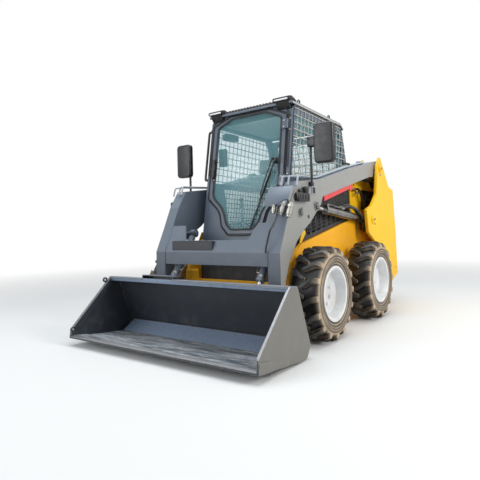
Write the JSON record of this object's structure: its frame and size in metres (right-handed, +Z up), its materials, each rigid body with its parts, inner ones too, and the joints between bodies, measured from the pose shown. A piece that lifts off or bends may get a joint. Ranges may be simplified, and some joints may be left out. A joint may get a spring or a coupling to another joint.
{
  "type": "skid steer loader",
  "caption": "Compact wheeled skid steer loader with a closed cab, radial lift arms, tilting bucket, glazed door and rear access door.",
  "frame": {"origin": "on the ground, midway along the machine's length and on its centre plane", "axes": "+X to the machine's left, +Y to its rear, +Z up"},
  "size_m": [1.884, 3.405, 2.118],
  "materials": {
    "frame_yellow": "gloss enamel, dusty low down",
    "loader_grey": "semi-gloss enamel with scuffs",
    "cab_grey": "satin enamel",
    "screen_grey": "satin enamel",
    "trim_black": "moulded, fine grain",
    "black_metal": "satin",
    "tyre": "dusty rubber",
    "rim_white": "gloss enamel",
    "cab_glass": "tinted, polished",
    "seat_cover": "stitched vinyl",
    "chrome_rod": "polished",
    "bar_red": "gloss enamel",
    "lamp": "moulded with a clear lens",
    "cast": "rough casting",
    "plated": "zinc plated",
    "rubber_seal": "moulded",
    "tail_lens": "ribbed, red",
    "mirror_face": "polished"
  },
  "bodies": {
    "chassis": {"axle_housings": "frame_yellow", "cab_floor": "cab_grey", "cab_front": "cab_grey", "cab_rear": "cab_grey", "cab_roof": "cab_grey", "cab_side_left": "cab_grey", "cab_side_right": "cab_grey", "cab_windows": "cab_glass", "controls": "trim_black", "engine_block": "cast", "grab_rail": "black_metal", "main_frame": "frame_yellow", "roof_lamps": "lamp", "seat": "seat_cover", "side_grilles": "black_metal", "side_screens": "screen_grey", "tail_lamps": "lamp", "tower_left": "frame_yellow", "tower_right": "frame_yellow"},
    "loader_arm": {"arm_left": "loader_grey", "arm_right": "loader_grey", "arm_cross_member": "loader_grey", "arm_step": "black_metal", "coupler_guard": "loader_grey", "support_bar": "bar_red", "arm_pipes": "loader_grey", "mirrors": "trim_black", "arm_lamps": "lamp"},
    "cab_door": {"door_frame": "cab_grey", "door_glass": "cab_glass", "door_fittings": "trim_black"},
    "bucket_and_coupler": {"quick_coupler": "loader_grey", "bucket": "loader_grey"},
    "lift_barrel_pair": {"lift_barrels": "black_metal"},
    "lift_rod_pair": {"lift_rods": "chrome_rod"},
    "tilt_barrel_pair": {"tilt_barrels": "loader_grey"},
    "tilt_rod_pair": {"tilt_rods": "chrome_rod"},
    "tail_door": {"rear_door": "black_metal"},
    "hood_lid": {"hood": "black_metal"},
    "wheel_front_left": {"tyre_front_left": "tyre", "rim_front_left": "rim_white"},
    "wheel_front_right": {"tyre_front_right": "tyre", "rim_front_right": "rim_white"},
    "wheel_rear_left": {"tyre_rear_left": "tyre", "rim_rear_left": "rim_white"},
    "wheel_rear_right": {"tyre_rear_right": "tyre", "rim_rear_right": "rim_white"}
  },
  "joints": [
    {"name": "wheel_front_left_spin", "type": "hinge", "parent": "chassis", "child": "wheel_front_left", "pos_m": [0.779, -0.5025, 0.383], "axis": [1, 0, 0], "continuous": true},
    {"name": "wheel_front_right_spin", "type": "hinge", "parent": "chassis", "child": "wheel_front_right", "pos_m": [-0.779, -0.5025, 0.383], "axis": [1, 0, 0], "continuous": true},
    {"name": "wheel_rear_left_spin", "type": "hinge", "parent": "chassis", "child": "wheel_rear_left", "pos_m": [0.779, 0.5825, 0.383], "axis": [1, 0, 0], "continuous": true},
    {"name": "wheel_rear_right_spin", "type": "hinge", "parent": "chassis", "child": "wheel_rear_right", "pos_m": [-0.779, 0.5825, 0.383], "axis": [1, 0, 0], "continuous": true},
    {"name": "arm_lift", "type": "hinge", "parent": "chassis", "child": "loader_arm", "pos_m": [0, 1.1875, 1.572], "axis": [-1, 0, 0], "range_deg": [0, 60]},
    {"name": "bucket_tilt", "type": "hinge", "parent": "loader_arm", "child": "bucket_and_coupler", "pos_m": [0, -1.0325, 0.205], "axis": [1, 0, 0], "range_deg": [-25, 100]},
    {"name": "door_swing", "type": "hinge", "parent": "chassis", "child": "cab_door", "pos_m": [0.435, -0.5602, 0.87152], "axis": [0, 0.1676, 0.9859], "range_deg": [0, 72]},
    {"name": "tail_door_swing", "type": "hinge", "parent": "chassis", "child": "tail_door", "pos_m": [0.495, 1.69948, 0.38048], "axis": [0, 0.0802, -0.9968], "range_deg": [0, 100]},
    {"name": "hood_lift", "type": "hinge", "parent": "chassis", "child": "hood_lid", "pos_m": [0, 0.8975, 1.385], "axis": [1, 0, 0], "range_deg": [0, 50]},
    {"name": "lift_barrel_swing", "type": "hinge", "parent": "chassis", "child": "lift_barrel_pair", "pos_m": [0, 0.9095, 0.995], "axis": [-1, 0, 0], "range_deg": [-2, 60.5]},
    {"name": "lift_rod_slide", "type": "slide", "parent": "lift_barrel_pair", "child": "lift_rod_pair", "axis": [0, -0.996, 0.0896], "range_m": [-0.01, 0.652]},
    {"name": "tilt_barrel_swing", "type": "hinge", "parent": "loader_arm", "child": "tilt_barrel_pair", "pos_m": [0, -0.6675, 0.895], "axis": [1, 0, 0], "range_deg": [-4, 1.75]},
    {"name": "tilt_rod_slide", "type": "slide", "parent": "tilt_barrel_pair", "child": "tilt_rod_pair", "axis": [0, -0.5894, -0.8079], "range_m": [-0.0669, 0.2378]}
  ],
  "couplings": [
    {"joint": "lift_barrel_swing", "follows": "arm_lift", "ratio": 0.975},
    {"joint": "lift_rod_slide", "follows": "arm_lift", "m_per_rad": 0.6131},
    {"joint": "tilt_barrel_swing", "follows": "bucket_tilt", "ratio": -0.03},
    {"joint": "tilt_rod_slide", "follows": "bucket_tilt", "m_per_rad": 0.1305}
  ]
}
